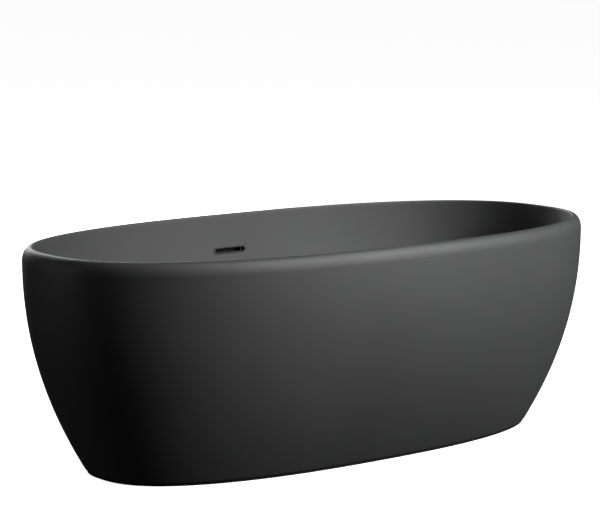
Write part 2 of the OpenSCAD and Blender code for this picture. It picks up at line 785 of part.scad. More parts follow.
// The hose's middle line, as [y, z]
hose_route = [
    [hose_y, 351.5], [hose_y, 338], [hose_y, 322], [376, 306], [369, 290], [361, 270], [352, 250],
    [341.5, 227], [330, 203], [319, 177], [306, 150], [290.5, 126], [272, 105], [250, 88], [225, 76],
    [198, 69], [170, 66], [145, inlet_z], [120, inlet_z], [95, inlet_z], [70, inlet_z], [45, inlet_z],
];

module overflow_hose() {
    color([0.8, 0.8, 0.79])
    tube([for (p = hose_route) [0, p[0], p[1]]], [for (p = hose_route) [1, 0, 0]], hose_r, 12, hose_bore);
}

module hose_clamp() {
    ring_r = hose_r + gap;
    color([0.75, 0.75, 0.75])
    translate([0, hose_y, 330]) {
        difference() {
            cylinder(r = ring_r + 0.9, h = 9);
            translate([0, 0, -1]) cylinder(r = ring_r, h = 11);
        }
        // the worm drive's housing, beside the band
        difference() {
            translate([ring_r + 2.8, 2.3, 4.5]) cube([7, 12, 9], center = true);
            translate([0, 0, -1]) cylinder(r = ring_r, h = 11);
        }
    }
}

washer_end = inlet_end + 4;
nut_r_out = 21;

module hose_washer() {
    color([0.04, 0.04, 0.04])
    translate([0, inlet_end, inlet_z]) rotate([-90, 0, 0]) difference() {
        cylinder(r = inlet_r, h = washer_end - inlet_end);
        translate([0, 0, -1]) cylinder(r = inlet_bore, h = 6);
    }
}

module hose_nut() {
    nut_start = inlet_end - 14;
    color([0.85, 0.85, 0.84])
    translate([0, nut_start, inlet_z]) rotate([-90, 0, 0]) difference() {
        union() {
            cylinder(r = nut_r_out - 1.5, h = washer_end - nut_start + 4);
            for (turn = [0 : 30 : 330])
                rotate([0, 0, turn]) translate([nut_r_out - 2.5, -2, 0])
                    cube([2.5, 4, washer_end - nut_start + 2]);
        }
        translate([0, 0, -1]) cylinder(r = inlet_r + gap, h = washer_end - nut_start + 1);
        translate([0, 0, -1]) cylinder(r = inlet_bore, h = 40);
    }
}

// ---------------------------------------------------------------- one line for each node

basin();
skirt();
edge_seal();
baseboard();
rail_front();
rail_back();
cross_member_left();
cross_member_right();
centre_tie_left();
centre_tie_right();
rail_end_caps();
board_screws();
bonding_block_front_left();
bonding_block_front_right();
bonding_block_back_left();
bonding_block_back_right();
block_screws();
weld_nuts();
lock_nuts();
foot_stud_front_left();
foot_stud_front_right();
foot_stud_back_left();
foot_stud_back_right();
foot_stud_middle();
foot_pad_front_left();
foot_pad_front_right();
foot_pad_back_left();
foot_pad_back_right();
foot_pad_middle();
waste_flange();
waste_washer_top();
waste_washer_bottom();
waste_body();
click_cartridge();
plug_spring();
plug_stem();
plug_cap();
plug_seal();
overflow_trim();
overflow_gasket();
overflow_box();
overflow_screws();
overflow_hose();
hose_clamp();
hose_nut();
hose_washer();
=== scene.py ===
"""A freestanding bath: smooth shells, fittings and underside, built round the frame.

Lengths are metres, in the frame: +X along the bath, +Y towards the overflow, +Z up.
"""

import json
import math

import bmesh
import bpy
from bpy.props import FloatProperty, FloatVectorProperty, PointerProperty
from mathutils import Matrix, Vector


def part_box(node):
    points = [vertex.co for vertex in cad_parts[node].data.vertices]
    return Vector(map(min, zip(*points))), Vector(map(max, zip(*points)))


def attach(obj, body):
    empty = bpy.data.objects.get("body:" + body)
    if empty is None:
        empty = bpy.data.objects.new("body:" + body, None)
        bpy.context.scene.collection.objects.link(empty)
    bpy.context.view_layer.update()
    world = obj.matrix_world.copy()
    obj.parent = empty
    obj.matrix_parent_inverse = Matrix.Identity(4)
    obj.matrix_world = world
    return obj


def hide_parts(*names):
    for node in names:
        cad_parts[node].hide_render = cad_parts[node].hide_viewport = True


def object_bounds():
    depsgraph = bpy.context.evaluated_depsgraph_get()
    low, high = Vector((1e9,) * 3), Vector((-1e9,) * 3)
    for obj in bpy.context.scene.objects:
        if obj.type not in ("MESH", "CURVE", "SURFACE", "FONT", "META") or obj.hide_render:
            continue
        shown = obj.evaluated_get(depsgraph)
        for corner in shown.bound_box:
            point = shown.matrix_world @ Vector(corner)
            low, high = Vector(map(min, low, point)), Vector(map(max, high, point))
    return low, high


bl_info = {
    "name": "Freestanding Bath",
    "version": (1, 0, 0),
    "blender": (4, 5, 0),
    "location": "View3D > Sidebar > Bath",
    "description": "Builds the visible pieces and finishes of a double-walled freestanding bath",
    "category": "Object",
}

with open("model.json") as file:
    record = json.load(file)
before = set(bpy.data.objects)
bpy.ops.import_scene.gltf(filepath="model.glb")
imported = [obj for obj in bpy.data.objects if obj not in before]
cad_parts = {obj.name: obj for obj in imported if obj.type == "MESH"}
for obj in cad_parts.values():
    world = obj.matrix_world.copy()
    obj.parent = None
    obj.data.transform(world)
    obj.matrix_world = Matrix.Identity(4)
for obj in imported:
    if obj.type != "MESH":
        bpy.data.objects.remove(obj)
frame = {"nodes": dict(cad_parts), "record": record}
CAD_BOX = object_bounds()
MM = 0.001
BATH = CAD_BOX[1] - CAD_BOX[0]

# ---------------------------------------------------------------- sizes and colours


def length(name, description, default):
    """A length that shows in the panel."""
    return FloatProperty(name=name, description=description, default=default, unit="LENGTH", precision=4)


def colour(name, description, default):
    """A colour that shows in the panel."""
    return FloatVectorProperty(
        name=name, description=description, default=default, subtype="COLOR", size=3, min=0.0, max=1.0
    )


class BathSizes(bpy.types.PropertyGroup):
    """Sizes of the shells."""

    length: length("Length", "Length over the rim", BATH.x)
    width: length("Width", "Width over the rim", BATH.y)
    height: length("Height", "Height of the rim above the floor", CAD_BOX[1].z)
    base_length: length("Base length", "Length of the skirt at its bottom edge", 1.396)
    base_width: length("Base width", "Width of the skirt at its bottom edge", 0.560)
    squareness: FloatProperty(
        name="Squareness", description="Squareness of the plan outline, where 2 is an ellipse", default=2.45
    )
    end_curve: FloatProperty(
        name="End curve", description="How strongly the ends curve in towards the base", default=2.05
    )
    side_curve: FloatProperty(
        name="Side curve", description="How strongly the sides curve in towards the base", default=2.37
    )
    skirt_wall: length("Skirt wall", "Thickness of the skirt", 0.006)
    basin_wall: length("Basin wall", "Thickness of the basin", 0.007)
    seal_height: length("Shadow gap", "Height of the gap that the floor seal fills", 0.008)
    rim_width: length("Rim width", "From the rim's outermost point to its inner edge", 0.026)
    rim_round: length("Rim edge", "Radius of the rim's inner edge", 0.005)
    shoulder_height: length("Shoulder height", "Height over which the rim rounds over", 0.035)
    shoulder_depth: length("Shoulder depth", "How far the rounded rim leans in", 0.021)
    floor_height: length("Floor height", "Height of the basin's floor", 0.140)
    floor_length: length("Floor length", "Length of the basin's flat floor", 1.000)
    floor_width: length("Floor width", "Width of the basin's flat floor", 0.430)
    slot_depth: length("Slot depth", "Depth of the overflow slot below the rim", 0.100)
    slot_length: length("Slot length", "Length of the overflow slot", 0.106)
    slot_height: length("Slot height", "Height of the overflow slot", 0.014)


class BathColours(bpy.types.PropertyGroup):
    """Colours of the finishes."""

    shell: colour("Shell", "The satin black acrylic", (0.034, 0.0345, 0.0355))
    backing: colour("Backing", "The glass-fibre backing", (0.42, 0.41, 0.36))
    rubber: colour("Rubber", "Seals and washers", (0.012, 0.012, 0.012))
    frame_paint: colour("Frame paint", "Powder coat of the steel frame", (0.035, 0.036, 0.039))
    zinc: colour("Zinc", "Plated screws, nuts and feet", (0.60, 0.60, 0.57))
    bare_steel: colour("Bare steel", "Welded nuts", (0.22, 0.22, 0.23))
    stainless: colour("Stainless", "Clamp and spring", (0.58, 0.58, 0.58))
    brass: colour("Brass", "Stem of the plug", (0.62, 0.42, 0.16))
    black_metal: colour("Black metal", "Plug and waste flange", (0.014, 0.014, 0.015))
    black_plastic: colour("Black plastic", "Trim, overflow box, caps and foot pads", (0.011, 0.011, 0.012))
    drain_plastic: colour("Drain plastic", "Waste body and nuts", (0.60, 0.60, 0.57))
    hose_plastic: colour("Hose plastic", "Overflow hose", (0.52, 0.52, 0.49))
    board: colour("Board", "Chipboard under the basin", (0.42, 0.28, 0.15))
    timber: colour("Timber", "Softwood blocks", (0.52, 0.34, 0.17))


# ---------------------------------------------------------------- building by extrusion

SEGMENTS = 192          # points round the bath's outline
ROUND_SEGMENTS = 64     # points round a small turned piece
SHARP_ANGLE = math.radians(38)


def alone(piece):
    """Selects one object and makes it active."""
    bpy.ops.object.select_all(action="DESELECT")
    piece.select_set(True)
    bpy.context.view_layer.objects.active = piece


def place_selected(piece, ring, row):
    """Puts the selected ring of points on an outline, each at its own place in the order."""
    mesh = bmesh.from_edit_mesh(piece.data)
    order = mesh.verts.layers.int["order"]
    rows = mesh.verts.layers.int["row"]
    for v in mesh.verts:
        if v.select:
            v.co = ring[v[order]]
            v[rows] = row
    bmesh.update_edit_mesh(piece.data)


def loft(name, rings, closed=True):
    """Extrudes a ring of points from outline to outline; a closed one ends where it began."""
    bpy.ops.object.select_all(action="DESELECT")
    bpy.ops.mesh.primitive_circle_add(vertices=len(rings[0]), radius=1.0)
    piece = bpy.context.object
    piece.name = piece.data.name = name
    order = piece.data.attributes.new("order", "INT", "POINT")
    order.data.foreach_set("value", list(range(len(rings[0]))))
    piece.data.attributes.new("row", "INT", "POINT")
    bpy.ops.object.mode_set(mode="EDIT")
    bpy.ops.mesh.select_all(action="SELECT")
    place_selected(piece, rings[0], 0)
    for row, ring in enumerate(rings[1:] + rings[:1] if closed else rings[1:], start=1):
        bpy.ops.mesh.extrude_edges_move()
        place_selected(piece, ring, row)
    bpy.ops.mesh.select_all(action="SELECT")
    bpy.ops.mesh.remove_doubles(threshold=1e-6)
    bpy.ops.mesh.normals_make_consistent(inside=False)
    bpy.ops.object.mode_set(mode="OBJECT")
    piece.data.attributes.remove(piece.data.attributes["order"])
    return piece


def finish_piece(piece, body, slot, materials, *nodes):
    """Smooths a piece, gives it its finish and ties it to the frame."""
    if "row" in piece.data.attributes:
        piece.data.attributes.remove(piece.data.attributes["row"])
    alone(piece)
    bpy.ops.object.shade_smooth_by_angle(angle=SHARP_ANGLE)
    for index, material in enumerate(materials):
        if index < len(piece.data.materials):
            piece.data.materials[index] = material
        else:
            piece.data.materials.append(material)
    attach(piece, body)
    if nodes:
        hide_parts(*nodes)
    return piece


def apply_modifier(piece, kind, **settings):
    """Adds a modifier with these settings and applies it."""
    alone(piece)
    modifier = piece.modifiers.new(kind.title(), kind)
    for key, value in settings.items():
        setattr(modifier, key, value)
    bpy.ops.object.modifier_apply(modifier=modifier.name)


def oval(section):
    """Points of a superellipse: half length, half width, squareness and height."""
    a, b, squareness, z = section
    points = []
    for k in range(SEGMENTS):
        turn = 2 * math.pi * k / SEGMENTS
        c, s = math.cos(turn), math.sin(turn)
        reach = (abs(c) ** squareness + abs(s) ** squareness) ** (-1 / squareness)
        points.append(Vector((a * reach * c, b * reach * s, z)))
    return points


def circle(radius, z, centre=(0.0, 0.0), count=ROUND_SEGMENTS):
    """Points of a level circle."""
    turns = [2 * math.pi * k / count for k in range(count)]
    return [Vector((centre[0] + radius * math.cos(t), centre[1] + radius * math.sin(t), z)) for t in turns]


def turned(name, outline, centre=(0.0, 0.0), closed=True, count=ROUND_SEGMENTS):
    """A turned piece from half its section, a list of (radius, height) in millimetres."""
    return loft(name, [circle(r * MM, z * MM, centre, count) for r, z in outline], closed)


def rounded(corner, before, after, radius, steps=4):
    """Points that round one corner of an outline, between its two neighbours."""
    points = []
    c = Vector(corner)
    start = c + (Vector(before) - c).normalized() * radius
    end = c + (Vector(after) - c).normalized() * radius
    for k in range(steps + 1):
        t = k / steps
        points.append(tuple(start * (1 - t) ** 2 + c * 2 * t * (1 - t) + end * t * t))
    return points


def rounded_outline(corners):
    """An outline from (x, y, radius) corners, with each corner that has a radius rounded."""
    points = []
    for k, (x, y, radius) in enumerate(corners):
        if radius:
            before = corners[k - 1][:2]
            after = corners[(k + 1) % len(corners)][:2]
            points += rounded((x, y), before, after, radius)
        else:
            points.append((x, y))
    return points


def mix(a, b, t):
    return a + (b - a) * t


# ---------------------------------------------------------------- the bath's surfaces


def joint_height(sizes):
    """Height at which the basin's rim meets the skirt."""
    return sizes.height - sizes.shoulder_height


def skirt_section(sizes, z, inset=0.0):
    """The skirt's outline at height z, moved in by inset."""
    rise = (z - sizes.seal_height) / (joint_height(sizes) - sizes.seal_height)
    base_a, base_b = sizes.base_length / 2, sizes.base_width / 2
    a = mix(base_a, sizes.length / 2, 1 - (1 - rise) ** sizes.end_curve)
    b = mix(base_b, sizes.width / 2, 1 - (1 - rise) ** sizes.side_curve)
    return (a - inset, b - inset, sizes.squareness, z)


FLOOR_SQUARENESS = 2.8


def wall_controls(sizes):
    """Control points of the basin's wet wall, from the rim to the floor: half length, half width, height."""
    lean = 14 * MM
    a = sizes.length / 2 - sizes.rim_width
    b = sizes.width / 2 - sizes.rim_width
    return [
        Vector((a, b, sizes.height - sizes.rim_round)),
        Vector((a - lean, b - lean, 0.400)),
        Vector((0.700, 0.318, sizes.floor_height + 4 * MM)),
        Vector((sizes.floor_length / 2, sizes.floor_width / 2, sizes.floor_height)),
    ]


def wall_point(sizes, t):
    p = wall_controls(sizes)
    return p[0] * (1 - t) ** 3 + p[1] * 3 * (1 - t) ** 2 * t + p[2] * 3 * (1 - t) * t * t + p[3] * t**3


def wall_slope(sizes, t):
    p = wall_controls(sizes)
    return (p[1] - p[0]) * 3 * (1 - t) ** 2 + (p[2] - p[1]) * 6 * (1 - t) * t + (p[3] - p[2]) * 3 * t * t


def wet_section(sizes, t):
    """The basin's wet face, from t = 0 at the rim to t = 1 at the floor."""
    p = wall_point(sizes, t)
    return (p.x, p.y, mix(sizes.squareness, FLOOR_SQUARENESS, t), p.z)


def dry_section(sizes, t):
    """The basin's dry face, a wall's thickness behind the wet one."""
    p, d = wall_point(sizes, t), wall_slope(sizes, t)
    run = (d.x + d.y) / 2
    size = math.hypot(run, d.z)
    out, down = -sizes.basin_wall * d.z / size, sizes.basin_wall * run / size
    return (p.x + out, p.y + out, mix(sizes.squareness, FLOOR_SQUARENESS, t), p.z + down)


TONGUE_HEIGHT = 14 * MM
TONGUE_INSET = 4.2 * MM
HOLE = 26 * MM          # radius of the waste hole
RECESS = 38 * MM        # radius of the recess round it
DISH = 41.5 * MM        # radius at which the recess meets the floor
FLOOR_THICKNESS = 12 * MM


def basin_sections(sizes):
    """The basin's closed section, from the waste hole over the floor, up the wall, over the rim and back."""
    half_l, half_w, n = sizes.length / 2, sizes.width / 2, sizes.squareness
    top, joint = sizes.height, joint_height(sizes)
    floor = sizes.floor_height
    recess_z = floor - 7 * MM
    underside = floor - FLOOR_THICKNESS
    dish_z = floor - 3.3 * MM
    wet = [
        (HOLE, HOLE, 2, underside), (HOLE, HOLE, 2, recess_z - 0.6 * MM),
        (HOLE + 0.6 * MM, HOLE + 0.6 * MM, 2, recess_z), (RECESS - 1 * MM, RECESS - 1 * MM, 2, recess_z),
        (RECESS, RECESS, 2, recess_z + 1 * MM), (RECESS + 0.5 * MM, RECESS + 0.5 * MM, 2, dish_z - 1.3 * MM),
        (RECESS + 1.4 * MM, RECESS + 1.4 * MM, 2, dish_z - 0.4 * MM), (DISH, DISH, 2, dish_z),
    ]
    floor_steps = 14
    for k in range(1, floor_steps):
        u = k / floor_steps
        wet.append((
            mix(DISH, sizes.floor_length / 2, u),
            mix(DISH, sizes.floor_width / 2, u**1.2),
            mix(2.0, FLOOR_SQUARENESS, u**1.8),
            mix(dish_z, floor, u),
        ))
    wall_steps = 48
    wet += [wet_section(sizes, 1 - k / wall_steps) for k in range(wall_steps + 1)]
    edge, edge_steps = sizes.rim_round, 7
    for k in range(1, edge_steps):
        turn = math.pi / 2 * k / edge_steps
        inset = sizes.rim_width - edge * (1 - math.cos(turn))
        wet.append((half_l - inset, half_w - inset, n, top - edge + edge * math.sin(turn)))
    shoulder_steps = 22
    for k in range(shoulder_steps + 1):
        turn = math.pi / 2 * (1 - k / shoulder_steps)
        inset = sizes.shoulder_depth * (1 - math.cos(turn))
        wet.append((half_l - inset, half_w - inset, n, joint + sizes.shoulder_height * math.sin(turn)))
    lip = TONGUE_INSET - 0.2 * MM
    tongue_top = joint + TONGUE_HEIGHT
    dry = [
        (half_l - lip, half_w - lip, n, joint),
        (half_l - lip, half_w - lip, n, tongue_top + 1 * MM),
        (half_l - 12 * MM, half_w - 12 * MM, n, tongue_top + 5 * MM),
    ]
    a, b, _, _ = dry_section(sizes, 0)
    dry.append((a, b, n, tongue_top + 1 * MM))
    dry += [dry_section(sizes, k / 24) for k in range(2, 24)]
    dry.append((sizes.floor_length / 2 + 8 * MM, sizes.floor_width / 2 + 5 * MM, FLOOR_SQUARENESS, underside))
    return wet, dry


def slot_place(sizes):
    """Where the overflow slot is on the wall: its centre, and a matrix with Y out through the wall."""
    height = sizes.height - sizes.slot_depth
    low, high = 0.0, 1.0
    for _ in range(24):
        middle = (low + high) / 2
        if wall_point(sizes, middle).z > height:
            low = middle
        else:
            high = middle
    point, slope = wall_point(sizes, low), wall_slope(sizes, low)
    tilt = math.atan2(slope.y, slope.z) + math.pi
    return Matrix.Translation((0, point.y, height)) @ Matrix.Rotation(-tilt, 4, "X")


def bar_ring(matrix, bar_length, bar_height, y, count=48):
    """Points round a bar with half-round ends, at depth y through the wall."""
    radius = bar_height / 2
    straight = bar_length / 2 - radius
    points = []
    for k in range(count):
        turn = 2 * math.pi * (k + 0.5) / count
        side = straight if math.cos(turn) > 0 else -straight
        points.append(matrix @ Vector((side + radius * math.cos(turn), y, radius * math.sin(turn))))
    return points


def backing_faces(piece, first, last):
    """Gives the faces between two rows the second material."""
    rows = [0] * len(piece.data.vertices)
    piece.data.attributes["row"].data.foreach_get("value", rows)
    for face in piece.data.polygons:
        levels = [rows[v] for v in face.vertices]
        if min(levels) >= first and max(levels) <= last:
            face.material_index = 1


# ---------------------------------------------------------------- operators: shells


class BATH_OT_basin(bpy.types.Operator):
    """Build the basin with its rolled rim, waste hole and overflow slot"""

    bl_idname = "bath.basin"
    bl_label = "Basin"

    def execute(self, context):
        sizes = context.scene.bath_sizes
        wet, dry = basin_sections(sizes)
        basin = loft("bath_basin", [oval(s) for s in wet + dry])
        place = slot_place(sizes)
        basin.data.materials.append(finish("shell"))
        basin.data.materials.append(finish("backing"))
        backing_faces(basin, len(wet), len(wet) + len(dry))
        cutter = loft(
            "slot_cutter",
            [bar_ring(place, sizes.slot_length, sizes.slot_height, y) for y in (-0.015, 0.012)],
            closed=False,
        )
        alone(cutter)
        bpy.ops.object.mode_set(mode="EDIT")
        bpy.ops.mesh.select_all(action="DESELECT")
        bpy.ops.mesh.select_non_manifold()
        bpy.ops.mesh.edge_face_add()
        bpy.ops.mesh.select_all(action="SELECT")
        bpy.ops.mesh.normals_make_consistent(inside=False)
        bpy.ops.object.mode_set(mode="OBJECT")
        apply_modifier(basin, "BOOLEAN", object=cutter, operation="DIFFERENCE", solver="EXACT")
        bpy.data.objects.remove(cutter)
        finish_piece(basin, "tub", "bath_shell", [finish("shell"), finish("backing")], "basin")
        return {"FINISHED"}


class BATH_OT_skirt(bpy.types.Operator):
    """Build the tapered outer skirt"""

    bl_idname = "bath.skirt"
    bl_label = "Skirt"

    def execute(self, context):
        sizes = context.scene.bath_sizes
        half_l, half_w, n = sizes.length / 2, sizes.width / 2, sizes.squareness
        bottom, joint, wall = sizes.seal_height, joint_height(sizes), sizes.skirt_wall
        edge, steps = 2.6 * MM, 6
        outside = []
        for k in range(steps + 1):
            turn = math.pi / 2 * k / steps
            z = bottom + edge * (1 - math.cos(turn))
            outside.append(skirt_section(sizes, z, edge * (1 - math.sin(turn))))
        levels = 60
        start = bottom + edge
        rises = [(k / levels) ** 1.15 for k in range(1, levels)]
        outside += [skirt_section(sizes, start + (joint - start) * rise) for rise in rises]
        outside += [skirt_section(sizes, joint - gap) for gap in (1.5 * MM, 0.4 * MM, 0.0)]
        tongue = [
            (half_l - TONGUE_INSET, half_w - TONGUE_INSET, n, joint),
            (half_l - TONGUE_INSET, half_w - TONGUE_INSET, n, joint + TONGUE_HEIGHT),
            (half_l - wall - 2 * MM, half_w - wall - 2 * MM, n, joint + TONGUE_HEIGHT),
        ]
        inside = [skirt_section(sizes, mix(joint - 40 * MM, bottom, k / 20), wall) for k in range(21)]
        skirt = loft("bath_skirt", [oval(s) for s in outside + tongue + inside])
        skirt.data.materials.append(finish("shell"))
        skirt.data.materials.append(finish("backing"))
        first = len(outside) + 1
        backing_faces(skirt, first, first + len(tongue) + len(inside) - 2)
        finish_piece(skirt, "tub", "bath_shell", [finish("shell"), finish("backing")], "skirt")
        return {"FINISHED"}


class BATH_OT_edge_seal(bpy.types.Operator):
    """Build the rubber seal that fills the shadow gap under the skirt"""

    bl_idname = "bath.edge_seal"
    bl_label = "Edge seal"

    def execute(self, context):
        sizes = context.scene.bath_sizes
        base = sizes.seal_height
        outer, inner, leg_top, fold = 5 * MM, 14 * MM, 20 * MM, 1.2 * MM
        behind = sizes.skirt_wall + 0.3 * MM

        def at_floor(inset, z):
            a, b, n, _ = skirt_section(sizes, base, inset)
            return (a, b, n, z)

        sections = [
            at_floor(inner - fold, 0.0), at_floor(outer + 2 * fold, 0.0), at_floor(outer + fold, 0.0),
            at_floor(outer + 0.3 * fold, 0.3 * fold), at_floor(outer, fold), at_floor(outer, base - fold),
            at_floor(outer + 0.3 * fold, base - 0.3 * fold), at_floor(outer + 0.8 * fold, base),
            skirt_section(sizes, base, behind), skirt_section(sizes, leg_top - fold, behind),
            skirt_section(sizes, leg_top, behind + fold), skirt_section(sizes, leg_top, inner - fold),
            skirt_section(sizes, leg_top - fold, inner), at_floor(inner, fold),
        ]
        seal = loft("floor_edge_seal", [oval(s) for s in sections])
        finish_piece(seal, "tub", "rubber", [finish("rubber")], "edge_seal")
        return {"FINISHED"}


# ---------------------------------------------------------------- operators: overflow and waste


class BATH_OT_overflow(bpy.types.Operator):
    """Build the overflow slot's trim"""

    bl_idname = "bath.overflow"
    bl_label = "Overflow trim"

    def execute(self, context):
        sizes = context.scene.bath_sizes
        place = slot_place(sizes)
        lip, sleeve, wall = 2 * MM, -0.3 * MM, 1.8 * MM
        back, front, depth = -0.5 * MM, -1.7 * MM, 9.5 * MM
        # each is how far the ring stands outside the slot's edge, and its depth
        section = [
            (sleeve, back), (lip, back), (lip, front + 0.5 * MM), (lip - 0.15 * MM, front + 0.15 * MM),
            (lip - 0.5 * MM, front), (sleeve - 0.7 * MM, front), (sleeve - 1.2 * MM, front + 0.2 * MM),
            (sleeve - 1.5 * MM, front + 0.7 * MM), (-wall, depth), (sleeve, depth),
        ]
        rings = [
            bar_ring(place, sizes.slot_length + 2 * out, sizes.slot_height + 2 * out, y) for out, y in section
        ]
        trim = loft("overflow_slot_trim", rings)
        finish_piece(trim, "tub", "black_plastic", [finish("black_plastic")], "overflow_trim")
        return {"FINISHED"}


class BATH_OT_plug(bpy.types.Operator):
    """Build the domed cap of the press-to-open plug"""

    bl_idname = "bath.plug"
    bl_label = "Plug cap"

    def execute(self, context):
        low, high = (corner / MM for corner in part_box("plug_cap"))
        flange_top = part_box("waste_flange")[1].z / MM
        rim, hub, lip = high.x, 21.6, 1.4
        under = flange_top + 1.6
        shoulder = under + 2.8
        steps = 14
        turns = [math.pi / 2 * k / steps for k in range(steps, -1, -1)]
        dome = [(rim * math.sin(t), mix(shoulder, high.z, math.cos(t) ** 0.9)) for t in turns]
        body = rounded_outline([
            (hub + lip, low.z, 0.3), (hub + lip, low.z + 0.9, 0.2), (hub, low.z + 0.9, 0), (hub, under, 0.6),
            (rim - 0.4, under, 0.6),
        ])
        cap = turned("plug_push_cap", [(0, low.z), *body, *dome], closed=False)
        finish_piece(cap, "plug", "waste_metal", [finish("black_metal")], "plug_cap")
        return {"FINISHED"}


def smooth_path(points, step):
    """Points about a step apart on a smooth curve through the given points."""
    ends = [points[0] * 2 - points[1], *points, points[-1] * 2 - points[-2]]
    path = []
    for a, b, c, d in zip(ends, ends[1:], ends[2:], ends[3:]):
        count = max(1, round((c - b).length / step))
        for k in range(count):
            t = k / count
            path.append(
                (b * 2 + (c - a) * t + (a * 2 - b * 5 + c * 4 - d) * t**2
                 + (b * 3 - a - c * 3 + d) * t**3) / 2
            )
    return path + [points[-1]]


def across(path, k, radius, count=36):
    """A circle of points across a path in the YZ plane, at its point k."""
    along = (path[min(k + 1, len(path) - 1)] - path[max(k - 1, 0)]).normalized()
    side = Vector((1, 0, 0))
    other = along.cross(side)
    turns = [2 * math.pi * n / count for n in range(count)]
    return [path[k] + (side * math.cos(t) + other * math.sin(t)) * radius for t in turns]


class BATH_OT_hose(bpy.types.Operator):
    """Build the ribbed hose from the overflow box down to the waste"""

    bl_idname = "bath.hose"
    bl_label = "Overflow hose"

    def execute(self, context):
        low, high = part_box("overflow_hose")
        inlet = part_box("hose_washer")
        inlet_z = (inlet[0].z + inlet[1].z) / 2
        crest, valley, bore = 12.8 * MM, 11.7 * MM, 10.4 * MM
        y = high.y - 12.9 * MM
        bends = [
            (y, high.z), (y, 0.338), (y, 0.322), (y - 0.011, 0.290), (y - 0.028, 0.250), (y - 0.050, 0.203),
            (y - 0.074, 0.150), (y - 0.108, 0.105), (y - 0.155, 0.076),
            (y - 0.210, inlet_z), (y - 0.270, inlet_z),
            (low.y, inlet_z),
        ]
        path = smooth_path([Vector((0, *bend)) for bend in bends], 1 * MM)
        cuff, pitch = 34, 4          # plain ends and ribs, in steps of the path
        rings = []
        for k in range(len(path)):
            plain = k < cuff or k > len(path) - cuff
            rings.append(across(path, k, crest if plain or k % pitch in (1, 2) else valley))
        rings += [across(path, k, bore) for k in range(len(path) - 1, -1, -12)]
        hose = loft("overflow_ribbed_hose", rings)
        finish_piece(hose, "tub", "hose_plastic", [finish("hose_plastic")], "overflow_hose")
        return {"FINISHED"}


# ---------------------------------------------------------------- operators: feet

FEET = ("front_left", "front_right", "back_left", "back_right", "middle")


def copied(piece, name, offset):
    """A copy with its own mesh, moved by offset in the mesh."""
    alone(piece)
    bpy.ops.object.duplicate()
    copy = bpy.context.object
    copy.name = copy.data.name = name
    bpy.ops.object.mode_set(mode="EDIT")
    bpy.ops.mesh.select_all(action="SELECT")
    bpy.ops.transform.translate(value=offset)
    bpy.ops.object.mode_set(mode="OBJECT")
    return copy


def threaded_stud(name, bottom, top):
    """A levelling foot's stud on the origin's axis: core, helical thread, chamfered ends and hexagon."""
    radius, root, pitch, hexagon = 6.0, 5.35, 1.75, 8.5
    core = turned(name, [
        (0, bottom), (root, bottom), (root, top - 1), (root - 0.8, top), (0, top),
    ], closed=False, count=32)
    collar_bottom, collar_top = 20.0, 27.0
    collar = turned("collar", [
        (0, collar_bottom), (hexagon - 0.9, collar_bottom), (hexagon, collar_bottom + 0.7),
        (hexagon, collar_top - 0.7), (hexagon - 0.9, collar_top), (0, collar_top),
    ], closed=False, count=6)
    start = collar_top + 0.6
    bpy.ops.object.select_all(action="DESELECT")
    bpy.ops.mesh.primitive_circle_add(vertices=3, radius=1.0)
    thread = bpy.context.object
    section = ((root - 0.2, -0.75), (radius, 0.0), (root - 0.2, 0.75))
    for v, (r, z) in zip(thread.data.vertices, section):
        v.co = Vector((r, 0, start + 1 + z)) * MM
    turns = int((top - start - 3.5) / pitch)
    apply_modifier(thread, "SCREW", angle=2 * math.pi, screw_offset=pitch * MM, iterations=turns, steps=28)
    alone(thread)
    bpy.ops.object.mode_set(mode="EDIT")
    bpy.ops.mesh.select_all(action="SELECT")
    bpy.ops.mesh.remove_doubles(threshold=1e-7)
    bpy.ops.mesh.select_all(action="DESELECT")
    bpy.ops.mesh.select_non_manifold()
    bpy.ops.mesh.edge_face_add()
    bpy.ops.mesh.select_all(action="SELECT")
    bpy.ops.mesh.normals_make_consistent(inside=False)
    bpy.ops.object.mode_set(mode="OBJECT")
    for piece in (core, collar):
        piece.select_set(True)
    bpy.context.view_layer.objects.active = core
    bpy.ops.object.join()
    return core


class BATH_OT_feet(bpy.types.Operator):
    """Build the levelling feet: threaded studs on moulded pads"""

    bl_idname = "bath.feet"
    bl_label = "Levelling feet"

    def execute(self, context):
        pad_outline = rounded_outline([
            (0, 0, 0), (21.2, 0, 0.8), (22, 1.5, 0.8), (22, 6, 1.2), (20.5, 8, 1.0), (14, 10, 2.0),
            (11.4, 13, 1.5), (10.4, 20, 0.8), (6.1, 20, 0), (6.1, 14, 0), (0, 14, 0),
        ])[1:]
        pad = turned("pad", [(0, 0), *pad_outline], closed=False)
        studs = {}
        for name in FEET:
            low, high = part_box("foot_stud_" + name)
            middle = (low + high) / 2
            place = (middle.x, middle.y, 0.0)
            top = round(high.z / MM, 1)
            if top not in studs:
                studs[top] = threaded_stud("stud", low.z / MM, top)
            stud = copied(studs[top], "levelling_stud_" + name, place)
            body = "foot_" + name
            finish_piece(stud, body, "zinc_steel", [finish("zinc")], "foot_stud_" + name)
            sole = copied(pad, "levelling_pad_" + name, place)
            finish_piece(sole, body, "black_plastic", [finish("black_plastic")], "foot_pad_" + name)
        for original in (pad, *studs.values()):
            bpy.data.objects.remove(original)
        return {"FINISHED"}


# ---------------------------------------------------------------- finishes

FINISHES = {}


def finish(name):
    return FINISHES[name]


